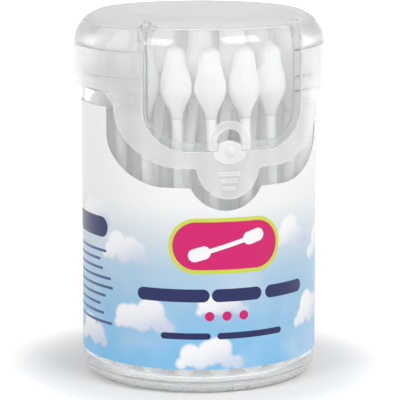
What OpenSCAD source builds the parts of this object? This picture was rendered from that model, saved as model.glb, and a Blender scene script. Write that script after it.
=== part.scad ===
// Round tub of cotton swabs: a clear tub under a wrapped label, a frosted lift-off lid
// with a hinged front door, and the swabs that stand inside.
// The front faces -Y, and the tub stands on Z = 0.

/* [Tub] */
// Outer diameter of the tub
tub_d = 55; // [52:0.5:60]
// Thickness of the tub's side wall
tub_wall = 1.3; // [1:0.1:1.6]
// Thickness of the tub's floor
floor_t = 1.5; // [1.2:0.1:2]
// Height of the foot ring under the floor
foot_h = 1.2; // [0.8:0.1:1.6]
// Radius of the tub's outer bottom edge
base_r = 3.7; // [3:0.1:4.5]
// Depth of the neck's step under the lid
neck_step = 0.35; // [0.2:0.05:0.45]
// Height of the snap bead that stands out of the neck
bead_h = 0.4; // [0.2:0.05:0.45]
// Distance of the snap bead below the rim
bead_drop = 6.3; // [5:0.1:7]

/* [Lid] */
// Gap between the tub's side and the inside of the lid's skirt
lid_gap = 0.5; // [0.4:0.05:0.8]
// Height of the lid above the tub's rim
lid_rise = 8.1; // [8:0.1:9]
// Free height between the raised swabs and the lid's top
head_room = 1.4; // [1:0.1:3]
// Length of the lid's skirt below the tub's rim
skirt_l = 9; // [8:0.2:10]
// Thickness of the lid's skirt
skirt_t = 1.4; // [1.2:0.05:1.6]
// Thickness of the lid's top
top_t = 1.5; // [1:0.1:1.6]
// Radius of the lid's rounded shoulder
shoulder_r = 8.2; // [7.6:0.1:8.4]
// Height of the lid's apron below the tub's rim
apron_l = 25.3; // [24:0.1:27]
// Width of the lid's apron
apron_w = 47; // [44:0.2:48]
// Radius of the apron's lower corners
apron_r = 12.5; // [9:0.5:14]

/* [Door] */
// Width of the door
door_w = 35.9; // [34:0.1:37]
// Height of the door below the tub's rim
door_l = 21.1; // [20:0.1:22]
// Radius of the door's lower corners
door_r = 8.5; // [7:0.5:10]
// Gap between the door and the lid around it
door_gap = 0.4; // [0.3:0.05:0.5]
// Diameter of the hinge's barrels and knuckles
barrel_d = 2.2; // [2:0.1:2.4]
// Diameter of the hinge pins
pin_d = 1; // [0.8:0.1:1.1]
// Radius of the finger notch in the door's lower edge
notch_r = 2.95; // [2.8:0.05:3.2]
// Width of the raised rim around the finger notch
notch_rim = 1.8; // [1.2:0.1:2.2]

/* [Catch] */
// Radius of the round push tongue below the apron
tongue_r = 7; // [6:0.1:8]
// Number of grip ridges on the tongue
ridges = 3; // [1:1:4]
// Diameter of the round pip on the catch
pip_d = 2.6; // [2:0.1:3]

/* [Label] */
// Thickness of the label
label_t = 0.15; // [0.1:0.01:0.16]
// Height of the label's lower edge above the table
label_bottom = 6; // [5:0.5:10]
// Distance of the label's upper edge below the tub's rim
label_drop = 12.9; // [12:0.1:15]
// Width of the window that the label leaves at the front
window_w = 49.2; // [48:0.2:50]
// Height of the window that the label leaves at the front
window_h = 17.1; // [15:0.1:20]

/* [Swabs] */
// Length of a swab
swab_l = 76; // [74:0.5:76.2]
// Diameter of a swab's paper stick
stick_d = 2.4; // [2:0.1:2.6]
// Largest diameter of a cotton head
head_d = 7.1; // [6.4:0.1:7.1]
// Length of a cotton head
head_l = 16; // [14:0.5:17]
// Diameter of a cotton head near its round tip
tip_d = 4.8; // [4:0.1:5.4]
// Height by which every other ring of swabs is raised
swab_raise = 4.2; // [4.2:0.1:4.3]

/* [Hidden] */
$fn = 96;
// Clearances between pieces, and how far a cut runs past what it cuts
rim_gap = 0.4;
label_gap = 0.03;
pin_gap = 0.08;
barrel_gap = 0.3;
swab_gap = 0.1;
swab_pitch = 7.6;
over = 1;
// Tub
tub_r = tub_d / 2;
inner_r = tub_r - tub_wall;
neck_r = tub_r - neck_step;
floor_z = foot_h + floor_t;
swab_z = floor_z + swab_gap;
tub_h = swab_z + swab_raise + swab_l + head_room + top_t - lid_rise;
foot_r = tub_r - base_r;
foot_w = 1.4;
floor_r = base_r - tub_wall;
rim_edge = 0.3;
// Lid
skirt_r = tub_r + lid_gap;
lid_r = skirt_r + skirt_t;
skirt_z = tub_h - skirt_l;
neck_z = skirt_z - 0.2;
neck_slope = 0.4;
top_z = tub_h + lid_rise;
shoulder_z = top_z - shoulder_r;
cavity_r = inner_r - rim_gap;
cavity_z = top_z - top_t;
cavity_corner = 2.6;
apron_z = tub_h - apron_l;
flare_r = 3;
edge = 0.35;
// Door and hinge
bridge_t = 0.95;
bridge_r = cavity_r + bridge_t;
door_in_r = bridge_r + 0.35;
door_z = tub_h - door_l;
barrel_w = 1.75;
knuckle_w = 1.5;
barrel_x = (door_w - barrel_w) / 2;
knuckle_x = barrel_x - (barrel_w + knuckle_w) / 2 - door_gap;
hinge_y = -sqrt(pow(door_in_r, 2) - pow(door_w / 2, 2)) - 0.6;
hinge_z = shoulder_at(door_in_r) + 0.3;
// Header that the opening in the bridge leaves under the top
header_h = 1.5;
hatch_r = 1.6;
notch_z = door_z + 1.75;
notch_proud = 0.6;
// Catch
pad_gap = 0.35;
pad_w = 2 * (notch_r - pad_gap);
pad_low_w = 7.2;
pad_top_r = 4.85;
pad_low_r = 4.35;
pad_h = 4.9;
pad_proud = 0.65;
pip_h = 0.4;
pip_drop = 0.3;
root_r = 1.2;
ridge_w = 4.7;
ridge_t = 0.7;
ridge_h = 0.4;
ridge_step = 1.6;
ridge_taper = 0.9;
// Tub's front notch, inside the door's outline
mouth_lap = 1.3;
mouth_w = door_w - 2 * mouth_lap;
mouth_z = door_z + mouth_lap;
mouth_r = door_r - mouth_lap;
// Label
label_r = tub_r + label_gap;
label_top = tub_h - label_drop;
window_z = label_top - window_h;
window_r = 11;
window_lap = 2;
window_drop = 0.9;
seam_w = 0.5;
// Cotton head
tip_l = 2;
bulb_l = 9.2;
// Swab rings, from the tub's wall inwards: how many swabs fit, and how far they lean
ring_gap = 0.45;
ring_nest = 0.5;
ring_step = head_d - ring_nest;
ring_r = [for (r = [inner_r - head_d / 2 - ring_gap:-ring_step:0]) r];
ring_count = [for (r = ring_r) r > swab_pitch ? floor(180 / asin(swab_pitch / 2 / r)) : 1];
ring_lean = [1.2, -4.2, 3.4, -1.5];
ring_turn = [-4.4, 3, 20, 0];
ring_slack = 0.22;
SWABS = [for (k = [0:len(ring_r) - 1]) for (i = [0:ring_count[k] - 1]) [k, i]];

function swab_name(s) = str("swab_", s < 10 ? "0" : "", s);

// Points of an arc in a profile
function arc(c, r, a0, a1, n = 12) =
    [for (i = [0:n]) c + r * [cos(a0 + (a1 - a0) * i / n), sin(a0 + (a1 - a0) * i / n)]];

// A list in the opposite order
function reverse(list) = [for (i = [len(list) - 1:-1:0]) list[i]];

// Smooth change from a to b as t goes from 0 to 1
function ease(a, b, t) = a + (b - a) * (1 - cos(180 * t)) / 2;

// Height of the lid's outside at a distance from its axis
function shoulder_at(r) =
    shoulder_z + sqrt(pow(shoulder_r, 2) - pow(max(r - lid_r + shoulder_r, 0), 2));

// The lid's rounded outside, from its wall up to a distance from its axis
function shoulder_arc(r) = arc([lid_r - shoulder_r, shoulder_z], shoulder_r, 0,
    acos((r - lid_r + shoulder_r) / shoulder_r), 16);

// Upright shape with two round lower corners, drawn in X and Z
module u_shape(w, z0, z1, r) {
    translate([-w / 2, z0 + r]) square([w, z1 - z0 - r]);
    translate([-w / 2 + r, z0]) square([w - 2 * r, z1 - z0]);
    for (s = [-1, 1]) translate([s * (w / 2 - r), z0 + r]) circle(r);
}

// Shape in X and Z, pushed out from the axis towards the front
module to_front(y0, y1) {
    rotate([90, 0, 0]) translate([0, 0, y0]) linear_extrude(y1 - y0) children();
}

// Ring about the axis
module ring(r0, r1, z0, z1) {
    translate([0, 0, z0]) difference() {
        cylinder(r = r1, h = z1 - z0);
        translate([0, 0, -over]) cylinder(r = r0, h = z1 - z0 + 2 * over);
    }
}

// Round pieces on the hinge axis, at a distance to each side of the middle
module on_hinge(x, d, w) {
    for (s = [-1, 1]) translate([s * x, hinge_y, hinge_z]) rotate([0, 90, 0])
        cylinder(d = d, h = w, center = true, $fn = 48);
}

module tub() {
    color([0.93, 0.95, 0.96, 0.35]) difference() {
        rotate_extrude() polygon(concat(
            [[0, foot_h], [foot_r - foot_w - foot_h, foot_h], [foot_r - foot_w, 0]],
            arc([foot_r, base_r], base_r, -90, 0, 10),
            [[tub_r, neck_z - neck_slope], [neck_r, neck_z]],
            arc([neck_r, tub_h - bead_drop], bead_h, -90, 90, 8),
            [[neck_r, tub_h - rim_edge], [neck_r - rim_edge, tub_h], [inner_r, tub_h]],
            arc([inner_r - floor_r, floor_z + floor_r], floor_r, 0, -90, 8),
            [[0, floor_z]]
        ));
        to_front(0, lid_r) u_shape(mouth_w, mouth_z, tub_h + over, mouth_r);
    }
}

module label() {
    color([0.62, 0.82, 0.93]) difference() {
        ring(label_r, label_r + label_t, label_bottom, label_top);
        to_front(0, lid_r) {
            u_shape(window_w, window_z, label_top + over, window_r);
            translate([0, apron_z - window_drop]) circle(tongue_r + window_lap);
        }
        translate([-seam_w / 2, 0, label_bottom - over])
            cube([seam_w, lid_r, label_top - label_bottom + 2 * over]);
    }
}

// The lid's round shell: skirt, seat on the rim, shoulder and top
module lid_shell() {
    rotate_extrude() polygon(concat(
        [[skirt_r, skirt_z], [lid_r - edge, skirt_z], [lid_r, skirt_z + edge]],
        shoulder_arc(lid_r - shoulder_r),
        [[0, top_z], [0, cavity_z]],
        arc([cavity_r - cavity_corner, cavity_z - cavity_corner], cavity_corner, 90, 0, 8),
        [[cavity_r, tub_h], [skirt_r, tub_h]]
    ));
}

// Right side of the apron's outline, from the skirt to the push tongue's root
function apron_side(root_x) = concat(
    [[apron_w / 2 + flare_r, skirt_z + over]],
    arc([apron_w / 2 + flare_r, skirt_z - flare_r], flare_r, 90, 180, 6),
    arc([apron_w / 2 - apron_r, apron_z + apron_r], apron_r, 0, -90, 12),
    arc([root_x, apron_z - root_r], root_r, 90, 180 - acos(root_x / (tongue_r + root_r)), 5)
);

// The apron that hangs from the skirt, with the round push tongue below it
module apron() {
    root_x = sqrt(pow(tongue_r + root_r, 2) - pow(root_r, 2));
    root_a = acos(root_x / (tongue_r + root_r));
    side = apron_side(root_x);
    intersection() {
        ring(skirt_r, lid_r, apron_z - tongue_r - over, skirt_z + over / 2);
        to_front(0, lid_r + over) polygon(concat(
            side,
            arc([0, apron_z], tongue_r, -root_a, root_a - 180, 20),
            reverse([for (p = side) [-p[0], p[1]]])
        ));
    }
}

// The barrel-shaped pad and its round pip, which hold the door's lower edge
module catch_pad() {
    intersection() {
        ring(skirt_r, lid_r + pad_proud, notch_z - pad_h, notch_z);
        to_front(0, lid_r + pad_proud + over) intersection() {
            translate([0, notch_z - pad_top_r]) circle(pad_top_r);
            translate([0, notch_z - pad_h + pad_low_r]) circle(pad_low_r);
            union() {
                translate([-pad_w / 2, notch_z - pad_h]) square([pad_w, pad_h]);
                translate([-pad_low_w / 2, notch_z - pad_h])
                    square([pad_low_w, door_z - door_gap - notch_z + pad_h]);
            }
        }
    }
    pip_r = (pow(pip_d / 2, 2) + pow(pip_h, 2)) / (2 * pip_h);
    intersection() {
        ring(skirt_r, lid_r + pad_proud + pip_h + over, door_z - pip_d, door_z + pip_d);
        translate([0, -lid_r - pad_proud - pip_h + pip_r, door_z - pip_drop]) sphere(pip_r);
    }
}

// Level ridges on the push tongue, narrower towards its tip
module tongue_ridges() {
    for (i = [0:ridges - 1])
        intersection() {
            ring(skirt_r, lid_r + ridge_h, apron_z - tongue_r, apron_z);
            translate([-(ridge_w - i * ridge_taper) / 2, -lid_r - over, apron_z - (i + 1) * ridge_step])
                cube([ridge_w - i * ridge_taper, lid_r, ridge_t]);
        }
}

module lid() {
    color([0.86, 0.88, 0.89, 0.7]) {
        difference() {
            union() {
                difference() {
                    union() {
                        lid_shell();
                        apron();
                    }
                    difference() {
                        to_front(0, lid_r + over) u_shape(door_w + 2 * door_gap,
                            door_z - door_gap, top_z, door_r + door_gap);
                        translate([0, 0, tub_h]) cylinder(r = bridge_r, h = lid_rise + over);
                    }
                    to_front(0, bridge_r + over) mirror([0, 1])
                        u_shape(mouth_w, header_h - cavity_z, over - tub_h, hatch_r);
                }
                on_hinge(knuckle_x, barrel_d, knuckle_w);
            }
            on_hinge(barrel_x, barrel_d + 2 * barrel_gap, barrel_w + 2 * door_gap);
            on_hinge(knuckle_x, pin_d + 2 * pin_gap, knuckle_w + over);
        }
        catch_pad();
        tongue_ridges();
    }
}

module door() {
    color([0.93, 0.94, 0.95, 0.5]) {
        difference() {
            union() {
                intersection() {
                    rotate_extrude() polygon(concat(
                        [[skirt_r, door_z - over], [lid_r, door_z - over]],
                        shoulder_arc(door_in_r),
                        [[skirt_r, tub_h]]
                    ));
                    to_front(0, lid_r + over) u_shape(door_w, door_z, top_z, door_r);
                }
                intersection() {
                    ring(skirt_r, lid_r + notch_proud, door_z, tub_h);
                    to_front(0, lid_r + over) translate([0, notch_z]) circle(notch_r + notch_rim);
                }
            }
            to_front(0, lid_r + over) {
                translate([0, notch_z]) circle(notch_r);
                translate([-notch_r, door_z - over])
                    square([2 * notch_r, notch_z - door_z + over]);
            }
        }
        on_hinge(barrel_x, barrel_d, barrel_w);
        on_hinge((barrel_x + knuckle_x) / 2, pin_d, barrel_x - knuckle_x);
    }
}

// Outline of a cotton head from its tip: a round end, a narrow part and a bulb that
// runs out onto the stick
function head_outline() = concat(
    [for (a = [0:22.5:90]) [tip_d / 2 * sin(a), tip_l * (1 - cos(a))]],
    [for (i = [1:4]) [ease(tip_d, head_d, i / 4) / 2, tip_l + (bulb_l - tip_l) * i / 4]],
    [for (i = [1:4]) [ease(head_d, stick_d, i / 5) / 2, bulb_l + (head_l - bulb_l) * i / 5]]
);

// One swab along Z, its lower tip at the origin: a stick with a cotton head at each end
module swab_form() {
    head = head_outline();
    rotate_extrude($fn = 48) polygon(concat(
        head,
        [[stick_d / 2, head_l], [stick_d / 2, swab_l - head_l]],
        [for (p = reverse(head)) [p[0], swab_l - p[1]]]
    ));
}

// Swab number s: its ring, its place round the ring and its lean along the ring
module swab(s) {
    k = SWABS[s - 1][0];
    i = SWABS[s - 1][1];
    r = ring_r[k];
    lean = ring_lean[k % len(ring_lean)];
    turn = ring_turn[k % len(ring_turn)] + i * 360 / ring_count[k]
        + ring_slack * sin(i * 137) * 180 / PI / r;
    color([0.97, 0.97, 0.96])
        rotate([0, 0, turn - 90])
            translate([sqrt(max(r * r - lean * lean, 0)), 0, swab_z + (k % 2) * swab_raise + swab_l / 2])
                rotate([atan(2 * lean / swab_l), 0, 0])
                    translate([0, 0, -swab_l / 2]) swab_form();
}

tub();
label();
lid();
door();
for (s = [1:len(SWABS)])
    swab(s);
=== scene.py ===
import math

import bmesh
import bpy
from mathutils import Matrix, Vector, noise


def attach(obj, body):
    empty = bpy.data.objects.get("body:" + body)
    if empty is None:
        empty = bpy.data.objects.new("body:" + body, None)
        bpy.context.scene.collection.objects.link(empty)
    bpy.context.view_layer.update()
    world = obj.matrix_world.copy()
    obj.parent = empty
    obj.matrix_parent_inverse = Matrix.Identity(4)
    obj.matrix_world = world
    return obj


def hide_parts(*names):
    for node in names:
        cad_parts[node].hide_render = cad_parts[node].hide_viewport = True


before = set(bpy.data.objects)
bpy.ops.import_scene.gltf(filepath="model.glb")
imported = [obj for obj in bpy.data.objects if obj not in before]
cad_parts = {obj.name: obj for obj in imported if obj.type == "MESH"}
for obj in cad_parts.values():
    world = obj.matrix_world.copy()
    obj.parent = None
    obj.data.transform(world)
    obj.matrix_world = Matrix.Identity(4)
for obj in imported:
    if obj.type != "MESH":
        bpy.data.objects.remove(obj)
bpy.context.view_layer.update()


# The tub is one clear polystyrene moulding, glossy from its mould. It stands on its foot
# ring, and everything else is put on it or into it. Its CAD form is kept, with its faces
# blended, so that its round wall refracts as one surface.
foot_low, foot_high = 2, 3.4
notch_low, notch_high = 45, 80
front_y = -16
edge_width = 0.3
weld_distance, sharp_turn = 2e-6, math.radians(24)


class Socket:
    """The output of a shader node. Python's arithmetic on it adds Math nodes."""

    def __init__(self, finish, output):
        self.finish, self.output = finish, output

    def maths(self, operation, *values):
        """A Math node that works on some values."""
        return self.finish.node("Math", {"operation": operation}, dict(enumerate(values)))

    def __add__(self, other):
        return self.maths("ADD", self, other)

    def __radd__(self, other):
        return self.maths("ADD", other, self)

    def __sub__(self, other):
        return self.maths("SUBTRACT", self, other)

    def __rsub__(self, other):
        return self.maths("SUBTRACT", other, self)

    def __mul__(self, other):
        return self.maths("MULTIPLY", self, other)

    def __rmul__(self, other):
        return self.maths("MULTIPLY", other, self)

    def __truediv__(self, other):
        return self.maths("DIVIDE", self, other)

    def __rtruediv__(self, other):
        return self.maths("DIVIDE", other, self)

    def __neg__(self):
        return self.maths("MULTIPLY", self, -1)

    def __abs__(self):
        return self.maths("ABSOLUTE", self)

    def __gt__(self, other):
        return self.maths("GREATER_THAN", self, other)

    def at_least(self, other):
        return self.maths("MAXIMUM", self, other)

    def at_most(self, other):
        return self.maths("MINIMUM", self, other)

    def root(self):
        return self.maths("SQRT", self)

    def ramp(self, low, high):
        """0 at low and 1 at high, with a smooth change between."""
        ends = {"Value": self, "From Min": low, "From Max": high}
        return self.finish.node("MapRange", {"interpolation_type": "SMOOTHSTEP"}, ends)


class Finish:
    """A material or a world: one shader with its constants set, and the nodes that feed it."""

    def __init__(self, name, constants, kind="materials", shader="Principled BSDF"):
        self.data = getattr(bpy.data, kind).new(name)
        self.data.use_nodes = True
        self.tree = self.data.node_tree
        self.shader = self.tree.nodes[shader]
        self.feed(constants)

    def feed(self, values, node=None):
        """Puts links or plain values into sockets, the shader's own unless a node is given."""
        node = node or self.shader
        for key, value in values.items():
            if isinstance(value, Socket):
                self.tree.links.new(value.output, node.inputs[key])
            else:
                node.inputs[key].default_value = value

    def node(self, kind, settings, inputs, output=0):
        """Adds a node: its settings first, then its sockets. Returns one of its outputs."""
        node = self.tree.nodes.new("ShaderNode" + kind)
        for name, value in settings.items():
            if name == "stops":
                set_stops(node.color_ramp.elements, value)
            else:
                setattr(node, name, value)
        self.feed(inputs, node)
        return Socket(self, node.outputs[output])

    def parts(self, vector, axes="XYZ"):
        """The parts of a vector along some axes."""
        return [self.node("SeparateXYZ", {}, {"Vector": vector}, axis) for axis in axes]

    def place(self):
        """Where a point of the piece is, as X, Y and Z in millimetres."""
        spot = self.node("TexCoord", {}, {}, "Object")
        return [part * 1000 for part in self.parts(spot)]

    def from_axis(self):
        """How far a point is from the tub's upright axis, in millimetres."""
        x, y, _ = self.place()
        return (x * x + y * y).root()

    def grain(self, size, stretch=(1, 1, 1), detail=3):
        """Noise from 0 to 1 whose lumps are a size in millimetres, longer along stretched axes."""
        spot = self.node("TexCoord", {}, {}, "Object")
        scaled = self.node("Mapping", {}, {"Vector": spot, "Scale": [1 / s for s in stretch]})
        return self.node("TexNoise", {}, {"Vector": scaled, "Scale": 1000 / size, "Detail": detail})

    def blend(self, share, a, b):
        """Colour a where share is 0 and b where it is 1: in the node, inputs 6 and 7 and output 2."""
        return self.node("Mix", {"data_type": "RGBA"}, {0: share, 6: a, 7: b}, 2)

    def bump(self, height, depth):
        """Feeds the shader's normal from a height of 0 to 1 that stands for a depth in millimetres."""
        normal = self.node("Bump", {}, {"Height": height, "Distance": depth / 1000})
        self.feed({"Normal": normal})

    def edges(self, width):
        """1 along the edges of the piece and 0 further from them than a width in millimetres."""
        rounded = self.node("Bevel", {"samples": 6}, {"Radius": width / 1000})
        face = self.node("NewGeometry", {}, {}, "Normal")
        turned = self.node("VectorMath", {"operation": "DOT_PRODUCT"}, {0: rounded, 1: face}, "Value")
        return (1 - abs(turned)).ramp(0.01, 0.2)

    def cut_faces(self, low, high):
        """1 on level faces and, at the front, on upright cut faces, between two heights."""
        _, y, z = self.place()
        normal = self.node("TexCoord", {}, {}, "Normal")
        faces_front, faces_up = [abs(part) for part in self.parts(normal, "YZ")]
        cut_upright = (1 - faces_front.ramp(0.25, 0.4)) * (1 - y.ramp(front_y, front_y + 2))
        return cut_upright.at_least(faces_up > 0.9) * (z > low) * (1 - (z > high))

    def haze(self, share, colour, back_share=0.6):
        """Mixes in light that the plastic scatters, onward and back: a share of 1 is all milky."""
        onward = self.node("BsdfTranslucent", {}, {"Color": colour})
        back = self.node("BsdfDiffuse", {}, {"Color": colour})
        milk = self.node("MixShader", {}, {0: back_share, 1: onward, 2: back})
        clear_part = Socket(self, self.shader.outputs[0])
        mixed = self.node("MixShader", {}, {0: share, 1: clear_part, 2: milk})
        self.tree.links.new(mixed.output, self.tree.nodes["Material Output"].inputs[0])

    def dress(self, piece):
        """Gives a piece this finish and no other."""
        piece.data.materials.clear()
        piece.data.materials.append(self.data)


def set_stops(elements, stops):
    """Gives a colour ramp its stops, each a position and a colour."""
    while len(elements) < len(stops):
        elements.new(0.5)
    for element, (position, colour) in zip(elements, stops):
        element.position, element.color = position, colour


def paint(red, green, blue):
    """A colour as it shows on a screen, from 0 to 255, as Blender's linear colour."""
    channels = [c / 255 for c in (red, green, blue)]
    return [c / 12.92 if c < 0.04 else ((c + 0.055) / 1.055) ** 2.4 for c in channels] + [1]


def moulding(node, name, body, finish):
    """A smooth moulding in a CAD node's form: edges stay only where faces turn sharply."""
    form = bmesh.new()
    form.from_mesh(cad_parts[node].data)
    bmesh.ops.remove_doubles(form, verts=form.verts, dist=weld_distance)
    for face in form.faces:
        face.smooth = True
    for edge in form.edges:
        edge.smooth = edge.calc_face_angle(0) < sharp_turn
    mesh = bpy.data.meshes.new(name)
    form.to_mesh(mesh)
    form.free()
    # The CAD mesh comes with normals of its own, which would undo the smoothing.
    if "custom_normal" in mesh.attributes:
        mesh.attributes.remove(mesh.attributes["custom_normal"])
    piece = bpy.data.objects.new(name, mesh)
    bpy.context.scene.collection.objects.link(piece)
    even = piece.modifiers.new("even_shading", "WEIGHTED_NORMAL")
    even.keep_sharp = True
    finish.dress(piece)
    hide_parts(node)
    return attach(piece, body)


polystyrene = Finish("clear_polystyrene", {
    "Base Color": paint(254, 255, 255),
    "Transmission Weight": 1.0,
    "IOR": 1.5,
})
milky_foot = 1 - polystyrene.place()[2].ramp(foot_low, foot_high)
polystyrene.feed({"Roughness": polystyrene.grain(9) * 0.03 + milky_foot * 0.25 + 0.01})
milky_wall = polystyrene.edges(edge_width) * 0.7 + milky_foot * 0.38 + 0.08
milky_cuts = polystyrene.cut_faces(notch_low, notch_high) * 0.6
polystyrene.haze(milky_wall.at_least(milky_cuts), paint(250, 251, 252))
moulding("tub", "tub_moulding", "tub", polystyrene)


# The label is a printed plastic film, cut with a window at the front, wrapped round the tub
# and closed by a seam at the back. Its print is a sky with clouds that pales upwards, a
# round-ended badge with a swab on it, and plain bars and dots. Its inside is white.
label_points = [v.co * 1000 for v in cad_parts["label"].data.vertices]
film_r = max(p.x for p in label_points)
film_low = min(p.z for p in label_points)
film_height = max(p.z for p in label_points) - film_low
film = Finish("printed_film", {"Roughness": 0.34, "Specular IOR Level": 0.3})
x, y, height = film.place()
along = film.node("Math", {"operation": "ARCTAN2"}, {0: x, 1: -y}) * film_r
spot = film.node("CombineXYZ", {}, {"X": along, "Y": height})

navy = paint(22, 30, 80)
magenta = paint(188, 10, 96)
lime = paint(200, 212, 40)
cotton_white = paint(250, 250, 250)
film_white = paint(252, 252, 252)

sky_stops = [
    (0, paint(112, 180, 222)),
    (0.2, paint(134, 184, 218)),
    (0.38, paint(168, 198, 220)),
    (0.52, paint(216, 226, 233)),
    (0.64, paint(244, 245, 245)),
    (1, paint(249, 249, 249)),
]
sky = film.node("ValToRGB", {"stops": sky_stops}, {"Fac": (height - film_low) / film_height})
mist = film.grain(16, detail=4).ramp(0.45, 0.8) * 0.35
print_colour = film.blend(mist, sky, paint(236, 240, 246))

puffs = 7
fluff = (film.grain(3, detail=4) - 0.5) * 2


def cloud(colour, u, v, width):
    """Puts a heap of round puffs on the film, at a place along and up it, white on top."""
    edge = None
    for k in range(puffs):
        share = k / (puffs - 1)
        arch = math.sin(math.pi * share)
        wander = math.sin(2.3 * u + 4.1 * k)
        radius = (0.1 + 0.09 * arch + 0.03 * wander) * width
        rise = 0.2 * arch * (0.75 + 0.45 * wander) * width
        centre = (u + (share - 0.5) * 0.8 * width, v + rise, 0)
        gap = film.node("VectorMath", {"operation": "DISTANCE"}, {0: spot, 1: centre}, "Value") - radius
        edge = gap if edge is None else edge.at_most(gap)
    edge = edge + fluff * 0.4
    shade = ((height - v + (u - along) * 0.4 + fluff) / (0.4 * width)).ramp(-0.7, 0.8)
    puff = film.blend(shade, paint(194, 205, 228), paint(252, 252, 254))
    return film.blend((-edge).ramp(-0.35, 0.7), colour, puff)


for u, v, width in (
    (-25, 31, 15), (-20, 15.5, 17), (-4, 7.5, 16), (-1, 19.5, 13), (17, 34, 14), (27, 14.5, 17),
    (33, 30, 16), (-36, 38, 15), (-38, 10, 15), (-52, 27, 18), (48, 12, 18), (50, 35, 15),
    (64, 24, 18), (-63, 9, 17), (-70, 36, 17), (79, 12, 16), (-82, 20, 13),
):
    print_colour = cloud(print_colour, u, v, width)


def capsule(u, v, length, radius, tilt=0):
    """How far a point is outside a capsule, in millimetres along the film."""
    turn = {"Vector": spot, "Center": (u, v, 0), "Angle": -tilt}
    turned = film.node("VectorRotate", {"rotation_type": "Z_AXIS"}, turn)
    across, up = film.parts(turned, "XY")
    du = (abs(across - u) - length / 2).at_least(0)
    dv = up - v
    return (du * du + dv * dv).root() - radius


def ink(colour, shape, tint):
    """Prints a shape in one tint, with a crisp edge."""
    return film.blend((-shape).ramp(-0.06, 0.06), colour, tint)


badge_v, badge_length, badge_r, badge_rim = 34.6, 14, 6.4, 0.9
badge = capsule(0, badge_v, badge_length, badge_r)
print_colour = ink(print_colour, badge, lime)
print_colour = ink(print_colour, badge + badge_rim, magenta)

drawn_tilt, drawn_length, drawn_reach = math.radians(16), 13, 6.6
drawn_stick = capsule(0, badge_v, drawn_length, 0.5, drawn_tilt)
print_colour = ink(print_colour, drawn_stick, cotton_white)
for reach in (-drawn_reach, drawn_reach):
    head_u = reach * math.cos(drawn_tilt)
    head_v = badge_v + reach * math.sin(drawn_tilt)
    print_colour = ink(print_colour, capsule(head_u, head_v, 2.2, 1.5, drawn_tilt), cotton_white)

for v, radius, tint, marks in (
    (23.2, 1.5, navy, ((-12.5, 14), (2.5, 9), (15.5, 9))),
    (18.4, 1.1, magenta, ((-4, 0), (0, 0), (4, 0))),
    (13.8, 0.75, navy, ((-9.5, 10), (6, 15))),
):
    for u, length in marks:
        print_colour = ink(print_colour, capsule(u, v, length, radius), tint)

panel_u, panel_head_v, panel_width = -39, 37, 20
row_v, row_pitch, row_r, rows = 31.5, 2.1, 0.33, 9
print_colour = ink(print_colour, capsule(panel_u, panel_head_v, 13, 2.4), navy)
for row in range(rows):
    length = 18 + 2.5 * math.sin(5 * row)
    row_u = panel_u - (panel_width - length) / 2
    row_bar = capsule(row_u, row_v - row * row_pitch, length, row_r)
    print_colour = ink(print_colour, row_bar, paint(58, 74, 124))

# The inner face passes light on, and the outer face passes some where its print is pale.
outside = film.from_axis() > film_r - 0.08
pale = film.node("RGBToBW", {}, {"Color": print_colour}).ramp(0.1, 0.8)
film.feed({"Base Color": film.blend(outside, film_white, print_colour)})
film.bump(film.grain(7, (1, 1, 2)), 0.04)
film.haze(1 - outside * (1 - pale * 0.3), film_white, 0.05)
film.dress(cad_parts["label"])


# The swabs are tight paper sticks with cotton wound on both ends into a narrow tip and a
# safety bulb. They stand loose in the tub, so each leans a little, just as its CAD solid
# does: the piece is built between the two ends of that solid.
swab_l, stick_r, tip_r, bulb_r = 0.076, 0.0012, 0.0024, 0.00355
tip_l, bulb_l, head_l = 0.002, 0.0092, 0.016
cotton_hem = 0.00008
first_ring = 0.00002
rounds, head_rings = 36, 30


def ease(a, b, share):
    """From a to b, slow at both ends."""
    return a + (b - a) * (1 - math.cos(math.pi * share)) / 2


def head_radius(d):
    """Half the cotton's thickness at a distance from the tip."""
    if d < tip_l:
        return tip_r * math.sqrt(1 - (1 - d / tip_l) ** 2)
    if d < bulb_l:
        return ease(tip_r, bulb_r, (d - tip_l) / (bulb_l - tip_l))
    return ease(bulb_r, stick_r + cotton_hem, (d - bulb_l) / (head_l - bulb_l))


def wound(radius, d, angle, seed):
    """The cotton's surface: its radius with the ridges and lumps of the winding."""
    ridge = math.sin(2 * angle + d * 1500 + seed) + 0.6 * math.sin(5 * angle - d * 900 + 2 * seed)
    lump = noise.noise(Vector((3 * math.cos(angle) + seed, 3 * math.sin(angle), d * 700)))
    return radius * (1 + 0.008 * ridge + 0.045 * lump)


def ring_at(radius_at, z):
    """Points round the swab at one height, at a radius that may change with the angle."""
    ring = []
    for k in range(rounds):
        angle = 2 * math.pi * k / rounds
        radius = radius_at(angle)
        ring.append((radius * math.cos(angle), radius * math.sin(angle), z))
    return ring


def lathe(form, rings, material):
    """Joins rings of points into a closed skin, with one flat face at each end."""
    loops = [[form.verts.new(p) for p in ring] for ring in rings]
    for low, high in zip(loops, loops[1:]):
        for k in range(len(low)):
            face = form.faces.new((low[k - 1], low[k], high[k], high[k - 1]))
            face.smooth, face.material_index = True, material
    for loop, order in ((loops[0], -1), (loops[-1], 1)):
        face = form.faces.new(loop[::order])
        face.smooth, face.material_index = True, material


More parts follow.
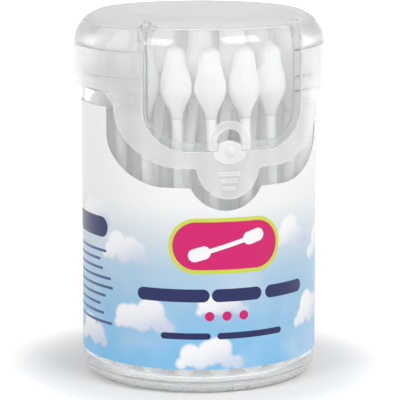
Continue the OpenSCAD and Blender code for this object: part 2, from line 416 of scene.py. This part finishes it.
def swab_mesh(name, seed):
    """One swab standing on the origin: its paper stick and a wound head at each end."""
    form = bmesh.new()
    stick_from = head_l * 0.8
    lathe(form, [ring_at(lambda a: stick_r, z) for z in (stick_from, swab_l - stick_from)], 0)
    for end in (0, 1):
        rings = []
        for k in range(head_rings + 1):
            share = k / head_rings
            d = head_l * (0.25 * share ** 2 + 0.75 * share) + first_ring
            z = swab_l - d if end else d
            rings.append(ring_at(lambda a: wound(head_radius(d), d, a, seed + end), z))
        lathe(form, rings[::-1] if end else rings, 1)
    mesh = bpy.data.meshes.new(name)
    form.to_mesh(mesh)
    form.free()
    return mesh


paper = Finish("stick_paper", {"Roughness": 0.62, "Specular IOR Level": 0.35})
pulp = paper.grain(1.2, (1, 1, 5))
paper.feed({"Base Color": paper.blend(pulp, paint(248, 249, 250), paint(253, 253, 252))})
paper.bump(paper.grain(0.5, (1, 1, 8)), 0.03)

cotton = Finish("wound_cotton", {
    "Roughness": 0.95,
    "Specular IOR Level": 0.2,
    "Sheen Weight": 0.35,
    "Sheen Roughness": 0.6,
    "Subsurface Weight": 0.2,
    "Subsurface Radius": (1, 1, 1),
    "Subsurface Scale": 0.0012,
})
fibres = cotton.grain(0.35, (1, 1, 2.5), 6)
cotton.feed({"Base Color": cotton.blend(fibres, paint(249, 249, 249), paint(254, 254, 254))})
cotton.bump(fibres, 0.12)

swab_nodes = sorted(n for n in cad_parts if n.startswith("swab_"))
for number, node in enumerate(swab_nodes):
    points = [v.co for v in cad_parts[node].data.vertices]
    low, high = min(points, key=lambda p: p.z), max(points, key=lambda p: p.z)
    mesh = swab_mesh(node + "_wound", 1.7 * number)
    lean = Vector((0, 0, 1)).rotation_difference(high - low).to_matrix().to_4x4()
    mesh.transform(Matrix.Translation(low) @ lean)
    mesh.materials.append(paper.data)
    mesh.materials.append(cotton.data)
    swab = bpy.data.objects.new("cotton_" + node, mesh)
    bpy.context.scene.collection.objects.link(swab)
    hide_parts(node)
    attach(swab, "tub")


# The lid is one frosted polypropylene moulding that is pressed onto the bead of the tub's
# neck. Its fine matt face blurs what stands behind it, a mould line runs round below its
# top, and its thick edges, cut faces and catch are milky.
lid_top = max(v.co.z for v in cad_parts["lid"].data.vertices) * 1000
matt_from, mould_line = lid_top - 3, lid_top - 2.8
apron_high, dome_low = 62, 70
catch_in, catch_out, catch_high = 29.45, 30.3, 62
lid_cut_low, lid_cut_high = 40, 80

frosted = Finish("frosted_polypropylene", {
    "Transmission Weight": 0.93,
    "IOR": 1.46,
})
level = frosted.place()[2]
matt_top = level.ramp(matt_from, matt_from + 0.5)
frosted.feed({
    "Base Color": frosted.blend(matt_top, paint(251, 251, 252), paint(236, 237, 238)),
    "Roughness": frosted.grain(0.8, detail=5) * 0.06 + matt_top * 0.25 + 0.1,
})
beside_line = abs(level - mould_line).ramp(0.05, 0.22)
frosted.bump(frosted.grain(0.3, detail=4) * 0.1 + beside_line, 0.1)
stands_out = frosted.from_axis().ramp(catch_in, catch_out)
milky_catch = stands_out * (1 - level.ramp(catch_high - 2, catch_high)) * 0.35
milky_body = 0.26 - level.ramp(apron_high, dome_low) * 0.13
milky_lid = frosted.edges(edge_width) * 0.7 + milky_body + milky_catch
milky_lid_cuts = frosted.cut_faces(lid_cut_low, lid_cut_high) * 0.7
frosted.haze(milky_lid.at_least(milky_lid_cuts), paint(252, 252, 253))
moulding("lid", "lid_moulding", "lid", frosted)


# The door is a thinner, nearly clear moulding of the same plastic. It hangs on two moulded
# pins at its upper corners and snaps under the catch by the raised rim of its finger notch.
rim_r, rim_low, rim_high = 29.5, 64, 66
door_cut_low, door_cut_high = 40, 82

clear = Finish("clear_polypropylene", {
    "Base Color": paint(250, 251, 251),
    "Transmission Weight": 0.99,
    "IOR": 1.46,
})
clear.feed({"Roughness": clear.grain(6) * 0.04 + 0.03})
clear.bump(clear.grain(5), 0.01)
milky_rim = (clear.from_axis() > rim_r) * (1 - clear.place()[2].ramp(rim_low, rim_high))
milky_door = clear.edges(edge_width) * 0.85 + milky_rim * 0.3 + 0.04
milky_door_cuts = clear.cut_faces(door_cut_low, door_cut_high) * 0.7
clear.haze(milky_door.at_least(milky_door_cuts), paint(252, 252, 253))
moulding("door", "door_moulding", "door", clear)


# The stage is a plain white floor under a white studio, with two softboxes. What is seen of
# the studio is white, and the part gets a little less light from it. Near the part the floor
# glows only behind clear plastic, so that it keeps the part's shadow.
floor_reach = 3
shadow_low, shadow_high, white_from = 32, 60, 300
floor_through = 0.55
floor = bpy.data.objects.new("floor", bpy.data.meshes.new("floor"))
around = ((-1, -1), (1, -1), (1, 1), (-1, 1))
floor_corners = [(sx * floor_reach, sy * floor_reach, 0) for sx, sy in around]
floor.data.from_pydata(floor_corners, [], [(0, 1, 2, 3)])
bpy.context.scene.collection.objects.link(floor)
white_floor = Finish("white_floor", {
    "Base Color": paint(220, 220, 220),
    "Roughness": 0.9,
    "Emission Strength": 1,
})


def seen(finish, aside, shown, through):
    """One value for stray light, one for what is seen plain or in a gloss, one through plastic."""
    kinds = ("Camera", "Glossy", "Transmission")
    camera, gloss, clear_wall = [finish.node("LightPath", {}, {}, f"Is {kind} Ray") for kind in kinds]
    plain = camera.at_least(gloss) * (shown - aside) + aside
    return plain.at_least(clear_wall * through)


from_part = white_floor.from_axis()
far = from_part.ramp(shadow_low, shadow_high) * 0.45 + from_part.ramp(shadow_high, white_from) * 0.3
glow = seen(white_floor, 0, far, far.at_least(floor_through))
white_floor.feed({"Emission Color": white_floor.blend(glow, paint(0, 0, 0), paint(255, 255, 255))})
white_floor.dress(floor)

air = Finish("studio", {"Color": (1, 1, 1, 1)}, "worlds", "Background")
air.feed({"Strength": seen(air, 0.85, 1, 1)})
bpy.context.scene.world = air.data

part_middle = (0, 0, 0.04)


def softbox(name, place, size, power):
    """A rectangular lamp that faces the middle of the part, with its power in watts."""
    light = bpy.data.lights.new(name, "AREA")
    light.shape, light.size, light.size_y, light.energy = "RECTANGLE", *size, power
    lamp = bpy.data.objects.new(name, light)
    lamp.location = place
    lamp.rotation_euler = (Vector(part_middle) - Vector(place)).to_track_quat("-Z", "Y").to_euler()
    bpy.context.scene.collection.objects.link(lamp)


softbox("key_softbox", (0.36, -0.6, 0.65), (0.5, 0.32), 4)
softbox("fill_softbox", (-0.6, -0.45, 0.55), (0.35, 0.3), 2.2)

eye = bpy.data.objects.new("camera", bpy.data.cameras.new("camera"))
eye.location = (-0.1129, -0.4776, 0.1273)
eye.rotation_euler = (math.radians(80), 0, math.radians(-13.3))
eye.data.sensor_width, eye.data.lens = 36, 189.2
eye.data.shift_x, eye.data.shift_y = 0.0026, -0.0049
eye.data.clip_start = 0.01
bpy.context.scene.collection.objects.link(eye)
bpy.context.scene.camera = eye
bpy.context.scene.view_settings.view_transform = "Standard"
bpy.context.scene.cycles.max_bounces = 48
bpy.context.scene.cycles.diffuse_bounces = 16
bpy.context.scene.cycles.transmission_bounces = 48
